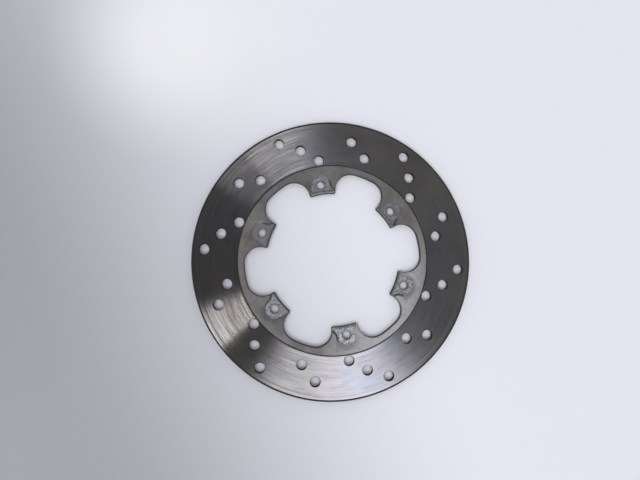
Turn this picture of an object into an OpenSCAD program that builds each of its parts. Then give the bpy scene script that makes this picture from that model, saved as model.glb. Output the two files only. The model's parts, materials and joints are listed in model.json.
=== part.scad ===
// Brake disc rotor for a scooter wheel: a drilled friction ring, a scalloped carrier with
// six ears, and a bolt seat let into each ear. The disc lies flat on its hub face: Z runs
// along the axle, the origin is the centre of the hub face, and bolt hole 1 is on +Y.

/* [Disc] */
// Outside diameter of the disc
disc_d = 220; // [216:1:240]
// Thickness of the disc
disc_t = 4; // [3.5:0.1:6]
// Width of the chamfer on both outer edges, measured along the face
rim_chamfer_w = 1.2; // [0.3:0.1:2]
// Height of that chamfer, measured along the axle
rim_chamfer_h = 0.6; // [0.2:0.1:1.5]

/* [Friction ring] */
// Diameter of the seam where the friction ring meets the carrier
seam_d = 150; // [147:0.5:150]
// Chamfer on the carrier side of the seam, which leaves a fine groove
seam_chamfer = 0.6; // [0.2:0.1:1.2]
// Diameter of the vent holes
vent_d = 8; // [5:0.1:8.3]
// Chamfer on both edges of a vent hole
vent_chamfer = 0.25; // [0.1:0.05:0.3]
// Distance of the innermost vent holes from the axle
vent_first_r = 79.5; // [79.5:0.1:82]
// How much farther out each vent hole lies than the last one inside it
vent_step_r = 5.3; // [4.8:0.1:5.6]
// Angle between neighbouring vent holes of one slanted row
vent_step_angle = 8.4; // [6.5:0.1:9.5]
// Angle from a bolt hole back to the start of its slanted row of three
vent_lead_angle = 1.2; // [-5:0.1:5]

/* [Carrier] */
// Inside diameter between the ear tips, which clears the hub register
bore_d = 105; // [102:0.5:108]
// Diameter of the bolt circle
bolt_pcd = 120; // [118:0.5:124]
// Diameter of the bolt holes
bolt_d = 6.2; // [5:0.1:9]
// Angle by which each ear is turned clockwise from its bolt hole
ear_lean = 0.6; // [-1:0.1:1.5]
// Distance of the scallops' outer edges from the axle
scallop_r = 69.7; // [68.5:0.1:71]
// Radius of the rounded ends of a scallop
scallop_end_r = 12.3; // [11.5:0.1:13]
// Angle from the middle of a scallop to the centre of either rounded end
scallop_half_angle = 6.8; // [6:0.1:7.2]
// Radius that rounds the two corners of each ear's tip
ear_corner_r = 1.4; // [0.4:0.1:2]

/* [Bolt seats] */
// Radius of the rounded head of a bolt seat
seat_r = 7.2; // [6:0.1:7.5]
// Radius of the hollow curve on the clockwise side of a bolt seat
seat_flare_r = 6.5; // [5:0.1:7]
// Angle at which the other side of a bolt seat spreads towards the ear's tip
seat_side_angle = 9.6; // [0:0.1:12]
// Thickness of a bolt seat
seat_t = 1.6; // [1:0.1:2]
// Depth of a bolt seat's top below the face of the carrier
seat_sink = 0.8; // [0.4:0.1:1.2]

/* [Hidden] */

$fn = 96;
disc_r = disc_d / 2;
seam_r = seam_d / 2;
bore_r = bore_d / 2;
bolt_count = 6;
// Each repeat of the pattern turns by this angle
repeat_angle = 360 / bolt_count;
// Angle of bolt hole 1 from +X
first_bolt_angle = 90;
// Vent holes in the two slanted rows of one repeat, three and then two
row_counts = [3, 2];
// Rows of vent holes have equal gaps between them around the disc
row_gap = (repeat_angle - vent_step_angle * (row_counts[0] + row_counts[1] - 2)) / 2;
// Where each row starts: its angle from the bolt hole, and its distance from the axle
row_starts = [
    [-vent_lead_angle, vent_first_r],
    [-vent_lead_angle - row_gap - vent_step_angle * (row_counts[1] - 1), vent_first_r + vent_step_r]
];
// Along a row, every hole skips the distance that the other row's hole takes
row_step_r = 2 * vent_step_r;
// Centre of a scallop's rounded ends
scallop_end_centre_r = scallop_r - scallop_end_r;
// Height of the pocket's floor, on which a bolt seat lies
pocket_floor = disc_t - seat_sink - seat_t;
// Length that carries a seat's outline past the ear's tip
seat_reach = bolt_pcd / 2 - bore_r + 2 * seat_r;
// Small extra length by which a cutter passes a face
past = 1;
// Share of its own length by which the cutter of an ear's corner passes that corner
corner_reach = 0.1;

// A cutter for a round hole through the disc, with both edges chamfered
module chamfered_hole(d, chamfer) {
    translate([0, 0, -past]) cylinder(d = d, h = disc_t + 2 * past);
    for (side = [0, 1])
        translate([0, 0, side * disc_t]) mirror([0, 0, side])
            translate([0, 0, -past])
                cylinder(r1 = d / 2 + chamfer + past, r2 = d / 2, h = chamfer + past);
}

// Puts its children at each bolt hole's angle, or at one that is offset from it
module at_each_bolt(offset_angle = 0) {
    for (i = [0 : bolt_count - 1])
        rotate(first_bolt_angle + offset_angle + i * repeat_angle) children();
}

// One slanted row of vent holes, seen from its bolt hole's angle
module vent_row(index) {
    for (k = [0 : row_counts[index] - 1])
        rotate(row_starts[index][0] + k * vent_step_angle)
            translate([row_starts[index][1] + k * row_step_r, 0])
                chamfered_hole(vent_d, vent_chamfer);
}

module friction_ring() {
    color("#4d4b49") difference() {
        rotate_extrude() polygon([
            [seam_r, 0],
            [disc_r - rim_chamfer_w, 0],
            [disc_r, rim_chamfer_h],
            [disc_r, disc_t - rim_chamfer_h],
            [disc_r - rim_chamfer_w, disc_t],
            [seam_r, disc_t]
        ]);
        at_each_bolt() for (row = [0, 1]) vent_row(row);
    }
}

// The outline of one scallop, from the axle outwards, with its middle on +X
module scallop() {
    intersection() {
        circle(r = scallop_r);
        polygon([
            [0, 0],
            disc_r * [cos(scallop_half_angle), -sin(scallop_half_angle)],
            disc_r * [cos(scallop_half_angle), sin(scallop_half_angle)]
        ]);
    }
    for (side = [-1, 1])
        rotate(side * scallop_half_angle) {
            translate([scallop_end_centre_r, 0]) circle(r = scallop_end_r);
            ear_corner(side);
        }
}

// The sliver that rounds off an ear's sharp corner, where a scallop's end meets the hub's
// round. The centre of the scallop's end is on +X, and side says to which side the ear lies.
module ear_corner(side) {
    // The rounding touches both edges, so its centre is this far from theirs
    from_axle = bore_r + ear_corner_r;
    from_end = scallop_end_r + ear_corner_r;
    turn = triangle_angle(from_end, from_axle);
    centre = from_axle * [cos(turn), side * sin(turn)];
    end_centre = [scallop_end_centre_r, 0];
    corner_turn = triangle_angle(scallop_end_r, bore_r);
    corner = bore_r * [cos(corner_turn), side * sin(corner_turn)];
    difference() {
        polygon([
            centre,
            centre * bore_r / from_axle,
            corner + (corner - centre) * corner_reach,
            end_centre + (centre - end_centre) * scallop_end_r / from_end
        ]);
        translate(centre) circle(r = ear_corner_r);
    }
}

// The angle at the axle of a triangle that has the centre of a scallop's end as its second
// corner: the length of the side that faces the axle, then of the other one at the axle
function triangle_angle(facing, beside) = acos(
    (pow(beside, 2) + pow(scallop_end_centre_r, 2) - pow(facing, 2))
    / (2 * beside * scallop_end_centre_r)
);

// The opening in the middle of the carrier: the hub's round and six scallops
module opening() {
    circle(r = bore_r);
    at_each_bolt(repeat_angle / 2 - ear_lean) scallop();
}

// The outline of a bolt seat before the ear's own edges trim it. The bolt hole is at the
// origin, and the ear's tip points along -Y.
module seat_outline() {
    head_end = seat_r * [-cos(seat_side_angle), sin(seat_side_angle)];
    side = seat_reach * [-sin(seat_side_angle), -cos(seat_side_angle)];
    flare_centre = [seat_r + seat_flare_r, 0];
    circle(r = seat_r);
    difference() {
        polygon([
            head_end,
            head_end + side,
            [flare_centre[0], head_end[1] + side[1]],
            flare_centre,
            [seat_r, 0]
        ]);
        translate(flare_centre) circle(r = seat_flare_r);
    }
}

// Puts its children at a bolt hole, from the pose that seat_outline() describes
module at_bolt_hole() {
    translate([bolt_pcd / 2, 0]) rotate(-90) children();
}

module carrier() {
    color("#75706a") difference() {
        rotate_extrude() polygon([
            [bore_r, 0],
            [seam_r - seam_chamfer, 0],
            [seam_r, seam_chamfer],
            [seam_r, disc_t - seam_chamfer],
            [seam_r - seam_chamfer, disc_t],
            [bore_r, disc_t]
        ]);
        translate([0, 0, -past]) linear_extrude(disc_t + 2 * past)
            at_each_bolt(repeat_angle / 2 - ear_lean) scallop();
        at_each_bolt() at_bolt_hole() {
            translate([0, 0, pocket_floor]) linear_extrude(disc_t) seat_outline();
            translate([0, 0, -past]) cylinder(d = bolt_d, h = disc_t + 2 * past);
        }
    }
}

// The seat plate at bolt hole i, counted from 1 anticlockwise
module bolt_seat(i) {
    color("#8f8f8e") translate([0, 0, pocket_floor]) linear_extrude(seat_t) difference() {
        rotate(first_bolt_angle + (i - 1) * repeat_angle) at_bolt_hole() seat_outline();
        opening();
        translate(bolt_pcd / 2 * [
            cos(first_bolt_angle + (i - 1) * repeat_angle),
            sin(first_bolt_angle + (i - 1) * repeat_angle)
        ]) circle(d = bolt_d);
    }
}

friction_ring();
carrier();
for (i = [1 : bolt_count])
    bolt_seat(i);
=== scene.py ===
import json
import math

import bpy
import numpy as np
from mathutils import Matrix, Vector, geometry


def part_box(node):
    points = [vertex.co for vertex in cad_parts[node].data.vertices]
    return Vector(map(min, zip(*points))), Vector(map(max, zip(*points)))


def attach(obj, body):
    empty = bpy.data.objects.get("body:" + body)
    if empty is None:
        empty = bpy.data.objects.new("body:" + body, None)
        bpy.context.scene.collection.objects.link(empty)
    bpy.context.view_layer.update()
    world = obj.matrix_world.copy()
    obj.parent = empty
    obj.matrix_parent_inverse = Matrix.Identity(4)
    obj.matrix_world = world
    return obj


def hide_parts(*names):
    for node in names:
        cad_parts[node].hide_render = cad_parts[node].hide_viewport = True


# The looks of a drilled brake disc that lies flat on a pale table. Shapes are worked out in
# millimetres in the CAD frame, and angles in degrees from +X, anticlockwise seen from above.

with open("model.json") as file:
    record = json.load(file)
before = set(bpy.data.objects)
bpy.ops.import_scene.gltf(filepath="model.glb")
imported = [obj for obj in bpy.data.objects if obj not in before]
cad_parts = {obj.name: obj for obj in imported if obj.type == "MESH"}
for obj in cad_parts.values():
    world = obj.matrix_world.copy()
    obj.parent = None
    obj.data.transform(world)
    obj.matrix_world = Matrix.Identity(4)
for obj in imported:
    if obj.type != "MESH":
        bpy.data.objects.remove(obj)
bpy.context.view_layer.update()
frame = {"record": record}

MM = 0.001

# ---------------------------------------------------------------- sizes taken from the frame


def box_mm(node):
    """A CAD node's lowest and highest corners in millimetres."""
    low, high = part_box(node)
    return np.array(low) / MM, np.array(high) / MM


def mount_dims(name):
    """A mount's dimensions, lengths in millimetres."""
    return next(m["dims"] for m in frame["record"]["mounts"] if m["name"] == name)


RING_LOW, RING_HIGH = box_mm("friction_ring")
DISC_R = min(RING_HIGH[0], RING_HIGH[1], -RING_LOW[0], -RING_LOW[1])
FACE_Z = RING_HIGH[2]
SEAM_R = box_mm("carrier")[1][0]
SEAT_LOW, SEAT_HIGH = box_mm("bolt_seat_1")
SEAT_Z, FLOOR_Z = SEAT_HIGH[2], SEAT_LOW[2]
BOLTS = mount_dims("bolt_circle")
BOLT_R = BOLTS["hole_r_mm"]
BOLT_CIRCLE_R = BOLTS["pcd_mm"] / 2
REPEATS = BOLTS["count"]

# ---------------------------------------------------------------- sizes of the design, in mm

FIRST_BOLT = 90
REPEAT_ANGLE = 360 / REPEATS
BORE_R = 52.5
EAR_LEAN = 0.6
SCALLOP_R = 69.7
SCALLOP_END_R = 12.3
SCALLOP_HALF = 6.8
SCALLOP_CENTRE_R = SCALLOP_R - SCALLOP_END_R
EAR_CORNER_R = 1.4
VENT_R = 4.0
VENT_STEP_R = 5.3
VENT_STEP = 8.4
VENT_LEAD = 1.2
VENT_FIRST_R = 79.5
ROWS = [(3, VENT_FIRST_R), (2, VENT_FIRST_R + VENT_STEP_R)]
ROW_GAP = (REPEAT_ANGLE - VENT_STEP * sum(count - 1 for count, _ in ROWS)) / 2
SEAT_R = 7.2
FLARE_R = 6.5
SEAT_SIDE = math.radians(9.6)
# No part of a bolt seat or its pocket lies farther than this from its bolt hole's centre
SEAT_REACH = 16

# ---------------------------------------------------------------- small tools


def polar(r, angle):
    """The point at that radius and at that angle in degrees."""
    a = np.radians(angle)
    return np.stack([r * np.cos(a), r * np.sin(a)], -1)


def unit(vector):
    return vector / np.hypot(*vector)


def arc(centre, r, start, end, count):
    """Points along an arc, its end left out so that arcs can follow each other."""
    return np.asarray(centre) + polar(r, np.linspace(start, end, count, endpoint=False))


def circle(centre, r, count):
    return arc(centre, r, 0, 360, count)


def smooth(low, high, x):
    """A smooth step from 0 at low to 1 at high."""
    t = np.clip((x - low) / (high - low), 0, 1)
    return t * t * (3 - 2 * t)


def rounding(distance, width, drop):
    """How far a face falls at this distance from its edge: a quarter ellipse."""
    t = np.clip(1 - distance / width, 0, 1)
    return drop * (1 - np.sqrt(np.clip(1 - t * t, 0, 1)))


class Noise:
    """Smooth, seeded noise between -1 and 1 on the plane."""

    SIZE = 64

    def __init__(self, seed):
        self.grid = np.random.default_rng(seed).uniform(-1, 1, (self.SIZE, self.SIZE))

    def __call__(self, x, y):
        ix, iy = np.floor(x).astype(int), np.floor(y).astype(int)
        fx, fy = x - ix, y - iy
        fx, fy = fx * fx * (3 - 2 * fx), fy * fy * (3 - 2 * fy)
        g, n = self.grid, self.SIZE
        a, b = g[ix % n, iy % n], g[(ix + 1) % n, iy % n]
        c, d = g[ix % n, (iy + 1) % n], g[(ix + 1) % n, (iy + 1) % n]
        return (a * (1 - fx) + b * fx) * (1 - fy) + (c * (1 - fx) + d * fx) * fy


# ---------------------------------------------------------------- the disc's outlines


def bolt_angles():
    return [FIRST_BOLT + REPEAT_ANGLE * i for i in range(REPEATS)]


def scallop_angles():
    return [a + REPEAT_ANGLE / 2 - EAR_LEAN for a in bolt_angles()]


def vent_centres():
    """Each repeat holds a slanted row of three vent holes and one of two."""
    found = []
    for bolt in bolt_angles():
        starts = [bolt - VENT_LEAD, bolt - VENT_LEAD - ROW_GAP - VENT_STEP]
        for (count, first_r), start in zip(ROWS, starts):
            for k in range(count):
                found.append(polar(first_r + 2 * VENT_STEP_R * k, start + VENT_STEP * k))
    return found


def triangle_angle(facing, a, b):
    """The angle in degrees between sides a and b of a triangle, opposite the side facing."""
    return math.degrees(math.acos((a * a + b * b - facing * facing) / (2 * a * b)))


# Where an ear's corner is rounded, seen from the centre of the scallop's end next to it: the
# angle at the axle, and the angle at that centre
CORNER_TURN = triangle_angle(SCALLOP_END_R + EAR_CORNER_R, BORE_R + EAR_CORNER_R, SCALLOP_CENTRE_R)
END_TURN = triangle_angle(BORE_R + EAR_CORNER_R, SCALLOP_END_R + EAR_CORNER_R, SCALLOP_CENTRE_R)
# A corner with a smaller radius than this is left sharp
SMALLEST_CORNER = 0.15
# How many points each kind of arc has along the opening's edge
CORNER_POINTS, END_POINTS, SCALLOP_POINTS, TIP_POINTS = 7, 34, 16, 30
# Beyond this distance from its centre, an ear corner's rounding no longer counts
CORNER_REACH = 4


def opening_loop(grow):
    """The closed edge of the carrier's opening, moved outwards by grow."""
    end_r, bore_r, c = SCALLOP_END_R + grow, BORE_R + grow, SCALLOP_CENTRE_R
    corner_r, turn, end_turn = EAR_CORNER_R - grow, CORNER_TURN, END_TURN
    rounded = corner_r > SMALLEST_CORNER
    if not rounded:
        turn, end_turn = triangle_angle(end_r, bore_r, c), triangle_angle(bore_r, end_r, c)
    points = []
    for middle in scallop_angles():
        first, last = middle - SCALLOP_HALF, middle + SCALLOP_HALF
        before, after = first - turn, last + turn
        if rounded:
            f = polar(BORE_R + EAR_CORNER_R, before)
            points.append(arc(f, corner_r, before + 180, first + end_turn, CORNER_POINTS))
        points += [
            arc(polar(c, first), end_r, first - 180 + end_turn, first, END_POINTS),
            arc((0, 0), SCALLOP_R + grow, first, last, SCALLOP_POINTS),
            arc(polar(c, last), end_r, last, last + 180 - end_turn, END_POINTS),
        ]
        if rounded:
            f = polar(BORE_R + EAR_CORNER_R, after)
            points.append(arc(f, corner_r, last - end_turn, after - 180, CORNER_POINTS))
        tip = REPEAT_ANGLE - 2 * (SCALLOP_HALF + turn)
        points.append(arc((0, 0), bore_r, after, after + tip, TIP_POINTS))
    return np.concatenate(points)


def opening_distance(p):
    """How far points lie outside the carrier's opening; negative inside it."""
    r = np.hypot(p[:, 0], p[:, 1])
    angle = np.degrees(np.arctan2(p[:, 1], p[:, 0]))
    best = r - BORE_R
    for middle in scallop_angles():
        off = (angle - middle + 180) % 360 - 180
        best = np.minimum(best, np.where(abs(off) < SCALLOP_HALF, r - SCALLOP_R, best))
        for side in (-1, 1):
            end = polar(SCALLOP_CENTRE_R, middle + side * SCALLOP_HALF)
            best = np.minimum(best, np.hypot(*(p - end).T) - SCALLOP_END_R)
    for middle in scallop_angles():
        for side in (-1, 1):
            turn = side * (SCALLOP_HALF + CORNER_TURN)
            corner = polar(BORE_R + EAR_CORNER_R, middle + turn)
            end = polar(SCALLOP_CENTRE_R, middle + side * SCALLOP_HALF)
            to_axle, to_end = -unit(corner), unit(end - corner)
            d = p - corner
            length = np.maximum(np.hypot(*d.T), 1e-9)
            middle_way = unit(to_axle + to_end)
            spread = to_axle @ middle_way
            facing = (d @ middle_way) / length > spread
            best = np.where(facing & (length < CORNER_REACH), EAR_CORNER_R - length, best)
    return best


def seat_frame(index):
    """Bolt centre, the clockwise direction and the inward direction at a bolt seat."""
    a = math.radians(bolt_angles()[index])
    centre = BOLT_CIRCLE_R * np.array([math.cos(a), math.sin(a)])
    return centre, np.array([math.sin(a), -math.cos(a)]), np.array([-math.cos(a), -math.sin(a)])


def seat_local(p, index):
    """Points as distances clockwise and inwards from a bolt hole's centre."""
    centre, clockwise, inward = seat_frame(index)
    return (p - centre) @ clockwise, (p - centre) @ inward


def seat_distance(u, v):
    """How far points lie outside a bolt seat's outline; negative inside it."""
    head = np.hypot(u, v) - SEAT_R
    flare = FLARE_R - np.hypot(u - SEAT_R - FLARE_R, v)
    side = -math.cos(SEAT_SIDE) * u - math.sin(SEAT_SIDE) * v - SEAT_R
    beyond = -math.sin(SEAT_SIDE) * u + math.cos(SEAT_SIDE) * v > 0
    return np.where(u > 0, np.where(v > 0, flare, head), np.where(beyond, side, head))


# The flare's curve turns by this many degrees, and a seat's straight side is this long
FLARE_SWEEP, SIDE_LENGTH = 72, 12.5
# How many points the flare, the head and the side have
FLARE_POINTS, HEAD_POINTS, SIDE_POINTS = 12, 30, 16


def seat_line(index, grow):
    """The edge of a bolt seat, moved outwards by grow: from the clockwise side of the ear's
    tip, round the bolt hole, and back to the tip. It isn't closed."""
    centre, clockwise, inward = seat_frame(index)
    psi = np.radians(np.linspace(FLARE_SWEEP, 0, FLARE_POINTS, endpoint=False))
    flare = np.stack([
        SEAT_R + FLARE_R - (FLARE_R - grow) * np.cos(psi), (FLARE_R - grow) * np.sin(psi)
    ], -1)
    a = np.linspace(0, math.pi - SEAT_SIDE, HEAD_POINTS)
    head = (SEAT_R + grow) * np.stack([np.cos(a), -np.sin(a)], -1)
    along = np.linspace(0, SIDE_LENGTH, SIDE_POINTS)[1:, None]
    side = head[-1] + along * np.array([-math.sin(SEAT_SIDE), math.cos(SEAT_SIDE)])
    local = np.concatenate([flare, head, side])
    return centre + local[:, :1] * clockwise + local[:, 1:] * inward


# ---------------------------------------------------------------- plates from a plan


# Points of a plan closer than this become one, in mm
WELD = 1e-5
# Heights are rounded to this many digits, so that faces that meet share their points
DIGITS = 5
# Edges that turn by more than this many degrees look sharp
SHARP = 38


def triangulate(loops, lines, points):
    """Points and anticlockwise triangles of the plan that the lines and points lay out."""
    coords, edges = [], []
    for closed, group in ((True, loops), (False, lines)):
        for loop in group:
            start, count = len(coords), len(loop)
            coords += [Vector(p) for p in loop]
            edges += [(start + i, start + i + 1) for i in range(count - 1)]
            if closed:
                edges.append((start + count - 1, start))
    coords += [Vector(p) for p in points]
    found = geometry.delaunay_2d_cdt(coords, edges, [], 0, WELD)
    p = np.array([tuple(v) for v in found[0]])
    t = np.array([f for f in found[2] if len(f) == 3])
    a, b = p[t[:, 1]] - p[t[:, 0]], p[t[:, 2]] - p[t[:, 0]]
    flipped = a[:, 0] * b[:, 1] - a[:, 1] * b[:, 0] < 0
    t[flipped] = t[flipped][:, ::-1]
    return p, t


def plate(name, plan, zone_of, top_of, bottom_of, paint_of, materials, attributes=()):
    """A closed solid on a triangulated plan. zone_of gives each triangle's zone, -1 outside
    the piece; top_of(zone, p) and bottom_of(p) give heights. Steps between zones and the
    outer walls are vertical. paint_of(p, kind) gives the material of each face, where kind is
    top, bottom or wall. attributes are (name, function of x, y, z) pairs."""
    p, t = plan
    zones = zone_of(p[t].mean(1))
    t, zones = t[zones >= 0], zones[zones >= 0]
    heights = {z: top_of(z, p) for z in np.unique(zones)}
    bottom = bottom_of(p)

    verts, faces, paint, index = [], [], [], {}

    def level(z):
        return round(float(z), DIGITS)

    def vertex(v, z):
        key = (v, level(z))
        if key not in index:
            index[key] = len(verts)
            verts.append((p[v][0] * MM, p[v][1] * MM, key[1] * MM))
        return index[key]

    middle = p[t].mean(1)
    top_paint, bottom_paint = paint_of(middle, "top"), paint_of(middle, "bottom")
    levels, sides = {}, {}
    for tri, zone, above, below in zip(t, zones, top_paint, bottom_paint):
        h = heights[zone]
        faces.append([vertex(v, h[v]) for v in tri])
        paint.append(above)
        faces.append([vertex(v, bottom[v]) for v in tri[::-1]])
        paint.append(below)
        for a, b in zip(tri, np.roll(tri, -1)):
            sides[(a, b)] = zone
    edges = [(a, b, z, sides.get((b, a), -1)) for (a, b), z in sides.items()]
    edges = [e for e in edges if e[2] != e[3]]
    for a, b, zone, _ in edges:
        for v in (a, b):
            levels.setdefault(v, {level(bottom[v])}).add(level(heights[zone][v]))
    wall_paint = paint_of(np.array([(p[a] + p[b]) / 2 for a, b, _, _ in edges]), "wall")
    for (a, b, zone, other), colour in zip(edges, wall_paint):
        ground = bottom if other < 0 else heights[other]
        if heights[zone][a] + heights[zone][b] <= ground[a] + ground[b]:
            continue

        def column(v):
            low, high = level(ground[v]), level(heights[zone][v])
            return [vertex(v, z) for z in sorted(levels[v]) if low <= z <= high]

        ring = column(a)[:1] + column(b) + column(a)[:0:-1]
        if len(set(ring)) > 2:
            faces.append(list(dict.fromkeys(ring)))
            paint.append(colour)

    mesh = bpy.data.meshes.new(name)
    mesh.from_pydata(verts, [], faces)
    for material in materials:
        mesh.materials.append(material)
    mesh.polygons.foreach_set("material_index", np.array(paint, np.int32))
    co = np.array(verts) / MM
    for label, function in attributes:
        layer = mesh.attributes.new(label, "FLOAT", "POINT")
        layer.data.foreach_set("value", function(*co.T).astype(np.float32))
    mesh.polygons.foreach_set("use_smooth", np.ones(len(faces), bool))
    mesh.set_sharp_from_angle(angle=math.radians(SHARP))
    mesh.validate()
    mesh.update()
    piece = bpy.data.objects.new(name, mesh)
    bpy.context.scene.collection.objects.link(piece)
    return piece


def keep_clear(points, curves, gap):
    """The points that lie at least gap away from every point of the curves."""
    near = np.concatenate(curves)
    cells = {}
    for q in near:
        cells.setdefault((int(q[0] // gap), int(q[1] // gap)), []).append(q)
    sheen_reach = []
    for point in points:
        cx, cy = int(point[0] // gap), int(point[1] // gap)
        close = [
            q for i in (-1, 0, 1) for j in (-1, 0, 1) for q in cells.get((cx + i, cy + j), [])
        ]
        if not close or min(np.hypot(*(np.array(close) - point).T)) >= gap:
            sheen_reach.append(point)
    return sheen_reach


# ---------------------------------------------------------------- materials


class Nodes:
    """Short calls for building a node tree."""

    def __init__(self, tree):
        self.tree = tree

    def put(self, socket, value):
        if isinstance(value, bpy.types.NodeSocket):
            self.tree.links.new(value, socket)
        elif value is not None:
            socket.default_value = value

    def node(self, kind, *inputs, out=0, **settings):
        n = self.tree.nodes.new("ShaderNode" + kind)
        for key, value in settings.items():
            setattr(n, key, value)
        for socket, value in zip(n.inputs, inputs):
            self.put(socket, value)
        return n.outputs[out]

    def math(self, operation, a, b=None):
        return self.node("Math", a, b, operation=operation)

    def mix(self, factor, a, b):
        """Mixes two colours."""
        n = self.tree.nodes.new("ShaderNodeMix")
        n.data_type = "RGBA"
        for socket, value in zip((n.inputs["Factor"], n.inputs[6], n.inputs[7]), (factor, a, b)):
            self.put(socket, value)
        return n.outputs[2]

    def between(self, value, low, high, to_low=0.0, to_high=1.0):
        """Maps low..high smoothly to to_low..to_high, and holds it at both ends."""
        return self.node(
            "MapRange", value, low, high, to_low, to_high, interpolation_type="SMOOTHSTEP"
        )

    def noise(self, vector, scale, detail=2.0, roughness=0.5):
        n = self.tree.nodes.new("ShaderNodeTexNoise")
        names = ("Vector", "Scale", "Detail", "Roughness")
        for name, value in zip(names, (vector, scale, detail, roughness)):
            self.put(n.inputs[name], value)
        return n.outputs["Fac"]

    def along(self, vector, azimuth):
        """How far a vector reaches in the direction of an azimuth."""
        towards = (*polar(1, azimuth), 0)
        return self.node("VectorMath", vector, towards, operation="DOT_PRODUCT", out=1)

    def parts(self, vector):
        """A vector's x, y and z."""
        n = self.tree.nodes.new("ShaderNodeSeparateXYZ")
        self.put(n.inputs[0], vector)
        return tuple(n.outputs)


class Material(Nodes):
    """A node material around one principled shader."""

    def __init__(self, name, **values):
        self.material = bpy.data.materials.new(name)
        self.material.use_nodes = True
        super().__init__(self.material.node_tree)
        self.shader = self.tree.nodes["Principled BSDF"]
        for key, value in values.items():
            self.set(key.replace("_", " "), value)

    def set(self, name, value):
        self.put(self.shader.inputs[name], value)

    def attribute(self, name):
        return self.node("Attribute", attribute_name=name, out=2)

    def place(self):
        """Object coordinates in millimetres, as a vector."""
        at = self.node("TexCoord", out=3)
        return self.node("VectorMath", at, (1000.0,) * 3, operation="MULTIPLY")

    def round_place(self):
        """Distance from the axle in mm, and the direction from it as x and y."""
        x, y, _ = self.parts(self.place())
        square = self.math("ADD", self.math("MULTIPLY", x, x), self.math("MULTIPLY", y, y))
        r = self.math("SQRT", square)
        return r, self.math("DIVIDE", x, r), self.math("DIVIDE", y, r)

    def streaks(self, r, x, y, across, along, detail=2.0):
        """Noise stretched around the axle: across is its pitch in mm along the radius, and
        along says how often it changes around the disc."""
        vector = self.node(
            "CombineXYZ",
            self.math("DIVIDE", r, across),
            self.math("MULTIPLY", x, along),
            self.math("MULTIPLY", y, along),
        )
        return self.noise(vector, 1.0, detail)

    def bump(self, height, strength, distance):
        n = self.tree.nodes.new("ShaderNodeBump")
        n.inputs["Strength"].default_value = strength
        n.inputs["Distance"].default_value = distance
        self.put(n.inputs["Height"], height)
        self.set("Normal", n.outputs[0])


# How far the grinding marks turn from circles, in radians: at the track's inner and outer edge,
# and at random from mark to mark
BRUSH_LEAN = (0.045, -0.02)
BRUSH_SWAY = 0.01
# How steeply the marks' flanks lean along the radius: fine marks, and marks the eye can see
FINE_SLOPE, WIDE_SLOPE = 0.62, 0.03
# Between these radii the lean turns from the one value to the other, and between the next two
# the steel takes on its tint at the rim
LEAN_TURNS, RIM_TINTS = (78, 102), (101, 107)
WARM_STEEL, COOL_STEEL = (0.27, 0.255, 0.247, 1), (0.247, 0.252, 0.262, 1)
RIM_STEEL, MARKED_STEEL = (0.275, 0.262, 0.257, 1), (0.12, 0.115, 0.11, 1)


def ground_steel():
    """The pad track: dark steel with circular grinding and pad marks."""
    m = Material("ground_steel", Metallic=1.0, Roughness=0.145, Anisotropic=1.0)
    m.set("Anisotropic Rotation", 0.25)
    r, x, y = m.round_place()
    sway = m.math("SUBTRACT", m.streaks(r, x, y, 1.2, 1.4, 2.0), 0.5)
    lean = m.between(r, *LEAN_TURNS, *BRUSH_LEAN)
    lean = m.math("ADD", m.math("MULTIPLY", sway, BRUSH_SWAY), lean)
    around = m.node("CombineXYZ", m.math("MULTIPLY", y, -1.0), x, 0.0)
    m.set("Tangent", m.node("VectorRotate", around, None, (0, 0, 1), lean))
    fine = m.streaks(r, x, y, 0.06, 3.0, 1.0)
    wide = m.streaks(r, x, y, 1.1, 3.5, 3.0)
    slope = m.math(
        "ADD",
        m.math("MULTIPLY", m.math("SUBTRACT", fine, 0.5), FINE_SLOPE),
        m.math("MULTIPLY", m.math("SUBTRACT", wide, 0.5), WIDE_SLOPE),
    )
    outwards = m.node("CombineXYZ", m.math("MULTIPLY", x, slope), m.math("MULTIPLY", y, slope), 0.0)
    flat = m.node("NewGeometry", out=1)
    m.set("Normal", m.node("VectorMath", flat, outwards, operation="ADD"))
    place = m.place()
    tint = m.noise(place, 0.018, 2.0)
    base = m.mix(m.between(tint, 0.35, 0.65), WARM_STEEL, COOL_STEEL)
    base = m.mix(m.between(r, *RIM_TINTS, 0.0, 0.7), base, RIM_STEEL)
    patch = m.between(m.streaks(r, x, y, 14.0, 5.0, 2.0), 0.3, 0.7)
    fine_marks = m.between(m.streaks(r, x, y, 1.1, 4.0, 3.0), 0.32, 0.68)
    wide_marks = m.between(m.streaks(r, x, y, 3.7, 6.0, 2.0), 0.35, 0.65)
    marks = m.math("MULTIPLY", m.math("ADD", fine_marks, wide_marks), patch)
    dull = m.between(marks, 0.0, 2.0, 0.0, 0.3)
    m.set("Base Color", m.mix(dull, base, MARKED_STEEL))
    return m.material


# The two tones of the scale
BLACK_SCALE, BROWN_SCALE = (0.012, 0.011, 0.011, 1), (0.034, 0.031, 0.03, 1)


def dark_edge():
    """Walls that no pad or tool has touched since the disc was made: dark scale."""
    m = Material("dark_edge", Metallic=0.0, Roughness=0.65, Specular_IOR_Level=0.25)
    spots = m.noise(m.place(), 0.9, 3.0)
    m.set("Base Color", m.mix(spots, BLACK_SCALE, BROWN_SCALE))
    m.bump(m.noise(m.place(), 2.5, 2.0), 0.5, 0.00005)
    return m.material


# A painted sheen lightens the carrier's coating most on the side at the first azimuth, and a
# weaker painted sheen lightens it on the side at the second
SHEEN_SIDE, WEAK_SHEEN_SIDE = -46, 42
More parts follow.
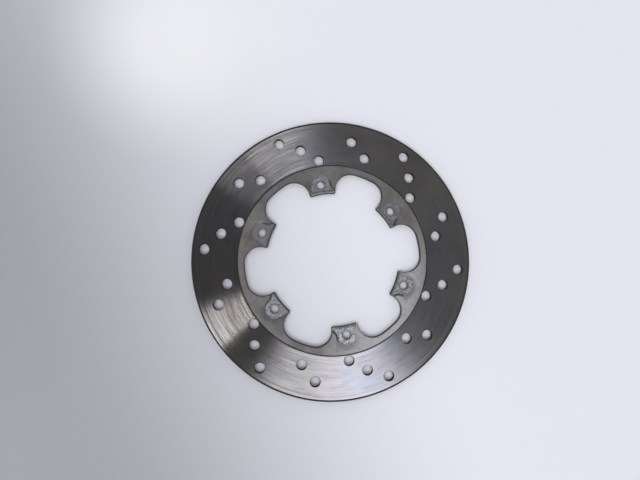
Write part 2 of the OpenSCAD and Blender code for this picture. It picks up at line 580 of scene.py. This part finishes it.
# The coating between its clouds and in them, where the strong and the weak painted sheen
# lighten it, where rust, grain and stains change it, and where painted shade darkens it
COAT_DARK, COAT_LIGHT = (0.095, 0.086, 0.083, 1), (0.185, 0.171, 0.168, 1)
COAT_SHEEN, COAT_WEAK_SHEEN = (0.45, 0.44, 0.437, 1), (0.31, 0.295, 0.29, 1)
COAT_RUST, COAT_GRAIN = (0.21, 0.186, 0.16, 1), (0.225, 0.215, 0.212, 1)
COAT_STAIN, COAT_SHADE = (0.07, 0.06, 0.056, 1), (0.016, 0.014, 0.014, 1)


def coated_steel():
    """The carrier's warm grey coating, lightened by a painted sheen on two sides and darkened by
    painted shade where the mesh's attribute for it says.
    """
    m = Material("coated_steel", Metallic=0.35, Roughness=0.38, IOR=1.7)
    place = m.place()
    cloud = m.noise(place, 0.075, 4.0, 0.6)
    stain = m.noise(place, 0.24, 4.0, 0.7)
    grain = m.noise(place, 1.3, 3.0, 0.7)
    base = m.mix(m.between(cloud, 0.3, 0.7), COAT_DARK, COAT_LIGHT)
    r, x, y = m.round_place()
    side = m.node("CombineXYZ", x, y, 0.0)
    # Painted sheen: the coating is made lighter on two sides, most on the first
    sheen_reach = m.along(side, SHEEN_SIDE)
    base = m.mix(m.between(sheen_reach, 0.36, 1.0, 0.0, 0.9), base, COAT_SHEEN)
    weak_sheen_reach = m.along(side, WEAK_SHEEN_SIDE)
    base = m.mix(m.between(weak_sheen_reach, 0.1, 0.8, 0.0, 0.15), base, COAT_WEAK_SHEEN)
    rust = m.math("MULTIPLY", m.between(r, 68, 74), m.between(m.math("ABSOLUTE", x), 0.5, 0.95))
    base = m.mix(m.math("MULTIPLY", rust, 0.4), base, COAT_RUST)
    base = m.mix(m.between(grain, 0.35, 0.75, 0.0, 0.35), base, COAT_GRAIN)
    base = m.mix(m.between(stain, 0.5, 0.75, 0.0, 0.6), base, COAT_STAIN)
    # Painted shade on the pocket walls and along the opening, and a dark line at the seam, from the
    # mesh attribute
    m.set("Base Color", m.mix(m.attribute("shade_and_grime"), base, COAT_SHADE))
    m.bump(grain, 0.35, 0.00006)
    return m.material


# A seat's steel between its specks and in them, where it is dull and where it has worn bright
DULL_SEAT = (0.155, 0.155, 0.163, 1), (0.255, 0.255, 0.267, 1)
BRIGHT_SEAT = (0.2, 0.2, 0.2, 1), (0.7, 0.7, 0.71, 1)
# The dark of painted shade along the ear's tip, which also darkens the seat round the bolt hole and
# in its pits
SEAT_SHADE_AND_GRIME = (0.03, 0.03, 0.034, 1)


def machined_steel():
    """The bolt seats: steel that bolt heads have marked. The wear attribute of a seat's mesh
    says how bright it is, and its second attribute where painted shade darkens it along the ear's
    tip, and where it is darker round the bolt hole and in its pits."""
    m = Material("machined_steel", Metallic=0.7, Roughness=0.42)
    place = m.place()
    grain = m.noise(place, 1.0, 4.0, 0.75)
    speck = m.between(grain, 0.42, 0.62)
    dull, bright = m.mix(speck, *DULL_SEAT), m.mix(speck, *BRIGHT_SEAT)
    base = m.mix(m.attribute("wear"), dull, bright)
    m.set("Base Color", m.mix(m.attribute("shade_and_grime"), base, SEAT_SHADE_AND_GRIME))
    m.bump(grain, 0.5, 0.00012)
    return m.material


STEEL, EDGE, COAT, SEAT = ground_steel(), dark_edge(), coated_steel(), machined_steel()

# ---------------------------------------------------------------- the friction ring

# Width and height of the roundings at the rim and at the seam, and of those at a vent hole
RIM_ROUND, SEAM_ROUND, VENT_ROUND = (1.2, 0.6), (0.35, 0.2), 0.22
# How wide the dark scale is that shows along the rim, the seam and a vent hole
RIM_DARK, SEAM_DARK, VENT_DARK = 1.5, 0.3, 0.28
# Distances from the rim, the seam and a vent hole at which the mesh has a loop of edges
RIM_LOOPS = (0, 0.1, 0.3, 0.6, 0.9, RIM_ROUND[0], RIM_DARK)
SEAM_LOOPS = (0, 0.12, SEAM_DARK, 0.45)
VENT_LOOPS = (0, 0.03, 0.08, 0.15, VENT_ROUND, VENT_DARK)
# Between them, the mesh's pitch along the radius, and its number of points around the disc
RING_STEP, RING_SPOKES, VENT_SPOKES = 0.6, 320, 48
# The sunk pad track lies between two radii, and its grooves are (height, pitch) waves
TRACK_IN, TRACK_OUT = 77.2, 105.8
WEAR = 0.07
COARSE_GROOVES, FINE_GROOVES = (0.001, 1.9), (0.0008, 0.9)
# The ring's face lies this far inside the CAD's, which leaves room for the grooves
RING_SINK = 0.012


def ring_top(p, seed):
    """The worn face of the ring: a slightly sunk pad track with fine circular grooves."""
    r = np.hypot(p[:, 0], p[:, 1])
    angle = np.arctan2(p[:, 1], p[:, 0])
    track = smooth(TRACK_IN - 0.5, TRACK_IN + 0.4, r) * smooth(TRACK_OUT + 0.6, TRACK_OUT - 0.5, r)
    coarse, fine, slow = Noise(seed), Noise(seed + 1), Noise(seed + 2)
    turn = 2.5 * np.stack([np.cos(angle), np.sin(angle)])
    sway = slow(turn[0] + 7, turn[1] + 7)
    height, pitch = COARSE_GROOVES
    grooves = height * coarse(r / pitch + 0.3 * sway, 0.4 * sway + 5)
    height, pitch = FINE_GROOVES
    grooves = grooves + height * fine(r / pitch, 0.5 * sway + 9)
    z = FACE_Z - RING_SINK - WEAR * track + grooves * track
    return z - rounding(DISC_R - r, *RIM_ROUND) - rounding(r - SEAM_R, *SEAM_ROUND)


def vent_distance(p):
    best = np.full(len(p), 1e9)
    for centre in vent_centres():
        best = np.minimum(best, np.hypot(*(p - centre).T) - VENT_R)
    return best


def make_ring():
    rims, bores = [DISC_R - d for d in RIM_LOOPS], [SEAM_R + d for d in SEAM_LOOPS]
    loops = [circle((0, 0), r, RING_SPOKES) for r in rims + bores]
    vents = [circle(c, VENT_R + d, VENT_SPOKES) for c in vent_centres() for d in VENT_LOOPS]
    radii = np.arange(bores[-1] + RING_STEP, rims[-1] - RING_STEP / 2, RING_STEP)
    points = np.concatenate([circle((0, 0), r, RING_SPOKES) for r in radii])
    clear = vent_distance(points) > VENT_DARK + 0.25
    plan = triangulate(loops + vents, [], points[clear])

    def zone_of(p):
        r = np.hypot(p[:, 0], p[:, 1])
        inside = (r < DISC_R) & (r > SEAM_R) & (vent_distance(p) > 0)
        return np.where(inside, 0, -1)

    def top_of(zone, p):
        return ring_top(p, 11) - rounding(vent_distance(p), VENT_ROUND, VENT_ROUND)

    def bottom_of(p):
        return FACE_Z - ring_top(p, 23) + rounding(vent_distance(p), VENT_ROUND, VENT_ROUND)

    def paint_of(p, kind):
        if kind == "wall":
            return np.ones(len(p), int)
        r = np.hypot(p[:, 0], p[:, 1])
        dark = (r > DISC_R - RIM_DARK) | (r < SEAM_R + SEAM_DARK) | (vent_distance(p) < VENT_DARK)
        return dark.astype(int)

    ring = plate("friction_ring_body", plan, zone_of, top_of, bottom_of, paint_of, [STEEL, EDGE])
    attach(ring, "root")
    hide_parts("friction_ring")


# ---------------------------------------------------------------- the carrier

EDGE_ROUND = 0.45
SEAM_CHAMFER = 0.6
# Distances from the opening and from the seam at which the mesh has a loop of edges
OPENING_LOOPS = (0, 0.08, 0.2, EDGE_ROUND, 0.9)
CHAMFER_LOOPS = (0, 0.15, 0.35, SEAM_CHAMFER)
# Number of mesh points around the seam and around a bolt hole, and the mesh's pitch elsewhere
SEAM_SPOKES, BOLT_SPOKES = 300, 40
CARRIER_STEP = 0.9
# Two (height, pitch) waves that make the coating uneven, and the room that they take up
COAT_BUMPS, COAT_WAVES = (0.012, 1.7), (0.02, 9)
COAT_SINK = 0.033
# Distances outwards from a bolt seat's outline at which the mesh has a line of edges
POCKET_LINES = (0, 0.2, 0.4, 0.65, 0.95, 1.3, 1.8, 2.5, 3.5, 4.8)
# Width of a pocket's wall where it is steep and where it is soft, and the share of its height
# that the soft side has as a small step at its foot
POCKET_WIDTH_STEEP, POCKET_WIDTH_SOFT = 1.3, 4.8
POCKET_STEP = 0.42
# How far the mesh's free points stay away from its loops and lines
CARRIER_GAP = 0.35
# How much painted shade darkens each pocket's soft wall, from bolt hole 1 anticlockwise
POCKET_SHADE = (0.12, 0.25, 0.3, 0.1, 0.5, 0.15)


def steep_side(u, v):
    """1 on the clockwise side of a bolt seat, from the ear's tip to the seat's head; there the
    pocket's wall is steep and painted dark as shade. 0 where the wall is soft and has less painted
    shade."""
    return smooth(-1, 4, u) * smooth(-6, 0, v)


def pocket_width(u, v):
    """Width of the pocket's wall at a place around a bolt seat."""
    return POCKET_WIDTH_SOFT + (POCKET_WIDTH_STEEP - POCKET_WIDTH_SOFT) * steep_side(u, v)


def pocket_rise(p):
    """0 at the foot of a pocket's wall, 1 on the face. The soft side has a small step too."""
    rise = np.ones(len(p))
    for i in range(REPEATS):
        u, v = seat_local(p, i)
        s, step = seat_distance(u, v), POCKET_STEP * (1 - steep_side(u, v))
        wall = step * smooth(0, 0.6, s) + (1 - step) * smooth(0, 1, s / pocket_width(u, v))
        rise = np.where(np.hypot(u, v) < SEAT_REACH, np.minimum(rise, wall), rise)
    return rise


def seat_any(p):
    """How far points lie outside the nearest bolt seat's outline."""
    best = np.full(len(p), 1e9)
    for i in range(REPEATS):
        u, v = seat_local(p, i)
        best = np.minimum(best, np.where(np.hypot(u, v) < SEAT_REACH, seat_distance(u, v), 1e9))
    return best


def bolt_distance(p):
    """How far points lie outside the nearest bolt hole."""
    best = np.full(len(p), 1e9)
    for i in range(REPEATS):
        best = np.minimum(best, np.hypot(*seat_local(p, i)) - BOLT_R)
    return best


def carrier_shade(x, y, z):
    """Painted shade: dark where the pocket's steep wall is, lighter on its soft walls, dark along
    the edges of the opening, and a dark line at the seam.
    """
    p = np.stack([x, y], -1)
    dark = np.zeros(len(x))
    for i in range(REPEATS):
        u, v = seat_local(p, i)
        s = seat_distance(u, v)
        steep = steep_side(u, v)
        wall = 0.9 * smooth(2.0, 0.9, s) * smooth(-0.6, 0.1, s) * steep
        soft = POCKET_SHADE[i] * smooth(4.6, 0.4, s) * (1 - steep)
        dark = np.maximum(dark, np.where(np.hypot(u, v) < SEAT_REACH, np.maximum(wall, soft), 0))
    edge = 0.85 * smooth(0.9, 0.1, opening_distance(p))
    seam = 0.8 * smooth(0.6, 0.3, SEAM_R - np.hypot(x, y))
    return np.maximum.reduce([dark, edge, seam]) * (z > 0.5 * FACE_Z)


def make_carrier():
    loops = [opening_loop(d) for d in OPENING_LOOPS]
    loops += [circle((0, 0), SEAM_R - d, SEAM_SPOKES) for d in CHAMFER_LOOPS]
    loops += [circle(seat_frame(i)[0], BOLT_R, BOLT_SPOKES) for i in range(REPEATS)]
    lines = [seat_line(i, g) for i in range(REPEATS) for g in POCKET_LINES]
    n = int(2 * SEAM_R / CARRIER_STEP)
    axis = (np.arange(n) - n / 2 + 0.5) * CARRIER_STEP
    grid = np.stack(np.meshgrid(axis, axis), -1).reshape(-1, 2)
    grid[:, 0] += np.where(np.arange(len(grid)) // n % 2, CARRIER_STEP / 2, 0)
    r = np.hypot(grid[:, 0], grid[:, 1])
    inside = (r < SEAM_R - SEAM_CHAMFER - 0.4) & (opening_distance(grid) > 1.2)
    plan = triangulate(loops, lines, keep_clear(grid[inside], loops + lines, CARRIER_GAP))
    bumps, slow = Noise(31), Noise(32)

    def zone_of(p):
        r = np.hypot(p[:, 0], p[:, 1])
        inside = (r < SEAM_R) & (opening_distance(p) > 0) & (bolt_distance(p) > 0)
        return np.where(inside, np.where(seat_any(p) < 0, 1, 0), -1)

    def edges(p):
        r = np.hypot(p[:, 0], p[:, 1])
        drop = rounding(opening_distance(p), EDGE_ROUND, EDGE_ROUND)
        return drop + np.clip(SEAM_CHAMFER - (SEAM_R - r), 0, SEAM_CHAMFER)

    def top_of(zone, p):
        if zone == 1:
            return np.full(len(p), FLOOR_Z)
        uneven = sum(
            height * noise(*(p.T / pitch))
            for noise, (height, pitch) in ((bumps, COAT_BUMPS), (slow, COAT_WAVES))
        )
        face = FACE_Z - COAT_SINK + uneven - edges(p)
        return np.minimum(face, SEAT_Z + (face - SEAT_Z) * pocket_rise(p))

    def bottom_of(p):
        return edges(p)

    def paint_of(p, kind):
        return np.full(len(p), kind == "wall").astype(int)

    body = plate(
        "carrier_body", plan, zone_of, top_of, bottom_of, paint_of, [COAT, EDGE],
        [("shade_and_grime", carrier_shade)],
    )
    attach(body, "root")
    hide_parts("carrier")


# ---------------------------------------------------------------- the bolt seats

# Distances from the bolt hole and inwards from a seat's outline, and shares of the bevel at
# the ear's tip, at which the mesh has a line of edges
HOLE_LOOPS, SEAT_LINES = (0, 0.15, 0.3, 0.5), (0, 0.15)
BEVEL_LOOPS = (0, 0.2, 0.45, 0.7, 1)
# Number of mesh points around the bolt hole, the mesh's pitch elsewhere, how far its free
# points stay away from its lines, and the width of the square that they fill
HOLE_SPOKES = 48
SEAT_STEP, SEAT_GAP, SEAT_SQUARE = 0.4, 0.2, 40
# How far the ear's tip falls along its bevel
TIP_DROP = 0.55
# Width and height of the rounding at the bolt hole
HOLE_ROUND = (0.5, 0.35)
# Two (height, pitch) waves of roughness, and the room that they take up
SEAT_BUMPS, SEAT_GRAIN = (0.03, 0.9), (0.015, 0.45)
SEAT_SINK = 0.06
# The bolt head has pressed a ring into the seat: its depth, and how its two edges end
PRESS_DEPTH = 0.05
PRESS_IN, PRESS_OUT = (4.3, 4.6), (6.4, 6.1)
# Pits: their depth, and between which values their distance and their size vary
PIT_DEPTH = 0.18
PIT_FROM_BOLT, PIT_SIZE = (4.7, 7.0), (0.5, 0.85)
# Each seat from bolt hole 1 anticlockwise: how bright it has worn, how many pits it has, and
# how wide the bevel along its ear's tip is
SEAT_WEAR = [
    (0.4, 3, 2.3), (0.0, 2, 1.2), (0.35, 6, 1.0), (1.05, 15, 1.6), (0.75, 9, 1.2), (0.25, 5, 1.9)
]


def seat_pits(index, count):
    """Small dents around the bolt head's ring, at places that differ from seat to seat: how far
    each lies clockwise and inwards from the bolt hole, and its size."""
    rng = np.random.default_rng(70 + index)
    a = rng.uniform(0, 2 * math.pi, count)
    r = rng.uniform(*PIT_FROM_BOLT, count)
    return list(zip(r * np.cos(a), r * np.sin(a), rng.uniform(*PIT_SIZE, count)))


def make_seat(index):
    bright, pit_count, bevel = SEAT_WEAR[index]
    centre = seat_frame(index)[0]
    tips = [opening_loop(share * bevel) for share in BEVEL_LOOPS]
    holes = [circle(centre, BOLT_R + d, HOLE_SPOKES) for d in HOLE_LOOPS]
    near = [loop[np.hypot(*(loop - centre).T) < SEAT_REACH + 2] for loop in tips]
    lines = near + [seat_line(index, -d) for d in SEAT_LINES]
    n = int(SEAT_SQUARE / SEAT_STEP)
    axis = (np.arange(n) - n / 2 + 0.5) * SEAT_STEP
    grid = centre + np.stack(np.meshgrid(axis, axis), -1).reshape(-1, 2)
    s = seat_distance(*seat_local(grid, index))
    inside = (s < -0.3) & (opening_distance(grid) > 0.2)
    plan = triangulate(holes, lines, keep_clear(grid[inside], lines + holes, SEAT_GAP))
    pits, rough, fine = seat_pits(index, pit_count), Noise(41 + index), Noise(51 + index)

    def zone_of(p):
        u, v = seat_local(p, index)
        hole = np.hypot(u, v) - BOLT_R
        inside = (seat_distance(u, v) < 0) & (opening_distance(p) > 0) & (hole > 0)
        return np.where(inside, 0, -1)

    def top_of(zone, p):
        u, v = seat_local(p, index)
        ring = np.hypot(u, v)
        z = SEAT_Z - SEAT_SINK
        for noise, (height, pitch) in ((rough, SEAT_BUMPS), (fine, SEAT_GRAIN)):
            z = z + height * noise(u / pitch, v / pitch)
        z = z - PRESS_DEPTH * smooth(*PRESS_OUT, ring) * smooth(*PRESS_IN, ring)
        for pu, pv, size in pits:
            z = z - PIT_DEPTH * smooth(size, 0, np.hypot(u - pu, v - pv))
        z = z - rounding(ring - BOLT_R, *HOLE_ROUND)
        return z - rounding(opening_distance(p), bevel, TIP_DROP)

    def bottom_of(p):
        return np.full(len(p), FLOOR_Z)

    def paint_of(p, kind):
        in_hole = np.hypot(*(p - centre).T) < BOLT_R + 1
        return ((kind == "wall") & ~in_hole).astype(int)

    # Painted shade along the ear's tip and the inner edge of its bevel; the seat is also darker
    # round the bolt hole and in its pits
    def shade_and_grime(x, y, z):
        p = np.stack([x, y], -1)
        u, v = seat_local(p, index)
        ring, tip = np.hypot(u, v), opening_distance(p)
        dark = 0.9 * smooth(0.9, 0.4, tip)
        dark = np.maximum(dark, 0.75 * smooth(0.5, 0.15, abs(tip - bevel)))
        dark = np.maximum(dark, 0.3 * smooth(BOLT_R + 1.4, BOLT_R + 0.3, ring))
        for pu, pv, size in pits:
            dark = np.maximum(dark, 0.9 * smooth(size, 0.25, np.hypot(u - pu, v - pv)))
        return dark

    def wear(x, y, z):
        u, v = seat_local(np.stack([x, y], -1), index)
        ring = np.hypot(u, v)
        head = smooth(7.0, 6.2, ring) * smooth(4.2, 5.0, ring)
        return bright * (0.75 + 0.5 * rough(u / 2.2 + 9, v / 2.2)) * (0.7 + 0.5 * head)

    name = f"bolt_seat_{index + 1}"
    seat = plate(
        name + "_plate", plan, zone_of, top_of, bottom_of, paint_of, [SEAT, EDGE],
        [("shade_and_grime", shade_and_grime), ("wear", wear)],
    )
    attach(seat, "root")
    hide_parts(name)


# ---------------------------------------------------------------- camera, table and light

# The camera's place and turn are seen in the disc's own frame, with the picture upright
PICTURE_TURN = -9.86
CAMERA_TILT = (-0.051, 0.072)
CAMERA_OFFSET = (10.783, -15.470, -314.6)
SENSOR, LENS = 36, 22.5


def camera_turn():
    tilt = Matrix.Rotation(CAMERA_TILT[0], 3, "X") @ Matrix.Rotation(CAMERA_TILT[1], 3, "Y")
    return Matrix.Rotation(math.radians(PICTURE_TURN), 3, "Z") @ tilt.transposed()


def camera_place():
    return camera_turn() @ -Vector(CAMERA_OFFSET) + Vector((0, 0, FACE_Z))


def make_camera():
    data = bpy.data.cameras.new("camera")
    data.sensor_width = SENSOR
    data.lens = LENS
    camera = bpy.data.objects.new("camera", data)
    bpy.context.scene.collection.objects.link(camera)
    place = Matrix.Translation(camera_place() * MM)
    camera.matrix_world = place @ camera_turn().to_4x4()
    bpy.context.scene.camera = camera


# Painted shade dims the table towards one side and a painted pool of light brightens it near one
# corner: azimuths as the picture sees them, and the bright spot's distance and size
TABLE_DIM, TABLE_GLARE = 204, 125
GLARE_AT, GLARE_SIZE = 215, 110
# The painted shade deepens between these two distances from the axle
TABLE_FADE = (-60, 240)
TABLE_LIGHT, TABLE_DARK = (0.925, 0.925, 0.975, 1), (0.39, 0.4, 0.43, 1)
TABLE_WHITE = (1.0, 1.0, 1.0, 1)
# How many times brighter painted light makes the table right under the ring, and how that ends at
# both sides
UNDER_RING = 1.2
UNDER_RING_IN, UNDER_RING_OUT = (74, 76), (109, 107)
# The table's width in metres, and how far it lies below the disc's underside in mm, so that
# the two faces don't flicker
TABLE_SIZE, TABLE_DROP = 8, 0.02


def make_table():
    m = Material("table", Roughness=0.5)
    place = m.place()
    along = m.along(place, TABLE_DIM + PICTURE_TURN)
    glare = (*polar(GLARE_AT, TABLE_GLARE + PICTURE_TURN), 0)
    near = m.node("VectorMath", place, glare, operation="DISTANCE", out=1)
    shade = m.mix(m.between(along, *TABLE_FADE), TABLE_LIGHT, TABLE_DARK)
    # Painted light: through the vent holes the table is made a little brighter than their shadow
    # alone leaves it
    r = m.round_place()[0]
    under_ring = m.math("MULTIPLY", m.between(r, *UNDER_RING_IN), m.between(r, *UNDER_RING_OUT))
    lifted = m.node("VectorMath", shade, (UNDER_RING,) * 3, operation="MULTIPLY")
    lifted = m.node("VectorMath", lifted, (1.0,) * 3, operation="MINIMUM")
    shade = m.mix(under_ring, shade, lifted)
    # A painted pool of light whitens the table near one corner
    m.set("Base Color", m.mix(m.between(near, GLARE_SIZE, 10, 0.0, 0.9), shade, TABLE_WHITE))
    bpy.ops.mesh.primitive_plane_add(size=TABLE_SIZE)
    table = bpy.context.object
    table.name = "table"
    table.data.materials.append(m.material)
    table.location.z = -TABLE_DROP * MM


# Windows and lamps around the disc. From the camera, the ring mirrors each of them in a sector
# of the disc: azimuths are that sector's sides, in degrees as the picture sees them, with how
# softly each side ends; zeniths are degrees down from overhead.
WINDOWS = [
    {"sector": (266, 299), "soft": (8, 12), "zenith": (8, 42), "light": 3.3,
     "colour": (0.92, 0.95, 1.12)},
    {"sector": (239.5, 266), "soft": (7.5, 8), "zenith": (12, 44), "light": 2.65,
     "colour": (0.97, 0.98, 1.03)},
    {"sector": (201.5, 217.4), "soft": (5, 0.4), "zenith": (20, 46), "light": 7.6,
     "colour": (1.0, 0.985, 0.985)},
    {"sector": (130, 147), "soft": (1.4, 3), "zenith": (20, 46), "light": 1.2,
     "colour": (0.96, 0.98, 1.05)},
    {"sector": (103.5, 130), "soft": (12, 1.4), "zenith": (20, 46), "light": 3.0,
     "colour": (0.96, 0.98, 1.05)},
]
# The light from overhead, by what share of it the room's two sides differ, the light from the
# horizon, and the degrees down from overhead between which the one turns into the other
OVERHEAD, OVERHEAD_LEAN, HORIZON = 0.16, 0.5, 0.95
HORIZON_ZENITH = (46, 70)
# Where along the disc's radius the windows' sides are mirrored, and how softly their lower and
# upper ends fade, as differences in height on the unit sphere
MIRROR_AT = 0.8
LOW_FADE, HIGH_FADE = 0.03, 0.01


def mirror_side(nodes, direction, angle, softness, sign):
    """A window's straight side, mirrored in a line across the ring at this azimuth."""
    along = np.append(polar(1, angle + PICTURE_TURN + 90), 0)
    spot = np.append(polar(MIRROR_AT * DISC_R, angle + PICTURE_TURN), FACE_Z)
    view = np.array(camera_place()) - spot
    level = -(view @ along) / np.linalg.norm(view)
    side = nodes.node("VectorMath", direction, tuple(along), operation="DOT_PRODUCT", out=1)
    edge = math.radians(softness) * 0.5
    return nodes.between(side, level - sign * edge, level + sign * edge)


def window_light(nodes, direction, window):
    """The light of one window in each direction of the room."""
    mask = nodes.math("MULTIPLY", *(
        mirror_side(nodes, direction, angle, soft, sign)
        for angle, soft, sign in zip(window["sector"], window["soft"], (1, -1))
    ))
    z = nodes.parts(direction)[2]
    high, low = (math.cos(math.radians(a)) for a in window["zenith"])
    for level, edge in ((low, LOW_FADE), (high, -HIGH_FADE)):
        mask = nodes.math("MULTIPLY", mask, nodes.between(z, level - edge, level + edge))
    light = nodes.math("MULTIPLY", mask, window["light"])
    equal = nodes.node("CombineXYZ", light, light, light)
    return nodes.node("VectorMath", equal, window["colour"], operation="MULTIPLY")


def make_room():
    world = bpy.data.worlds.new("room")
    bpy.context.scene.world = world
    world.use_nodes = True
    nodes = Nodes(world.node_tree)
    direction = nodes.node("TexCoord", out=0)
    x, _, z = nodes.parts(direction)
    low, high = (math.cos(math.radians(a)) for a in HORIZON_ZENITH[::-1])
    right = nodes.between(x, -0.6, 0.6, 1 - OVERHEAD_LEAN, 1 + OVERHEAD_LEAN)
    overhead = nodes.math("MULTIPLY", right, OVERHEAD)
    glow = nodes.between(z, low, high, HORIZON, overhead)
    total = nodes.node("CombineXYZ", glow, glow, glow)
    for window in WINDOWS:
        total = nodes.node(
            "VectorMath", total, window_light(nodes, direction, window), operation="ADD"
        )
    nodes.put(nodes.tree.nodes["Background"].inputs[0], total)
    bpy.context.scene.view_settings.view_transform = "Standard"


make_camera()
make_ring()
make_carrier()
for number in range(REPEATS):
    make_seat(number)
make_table()
make_room()
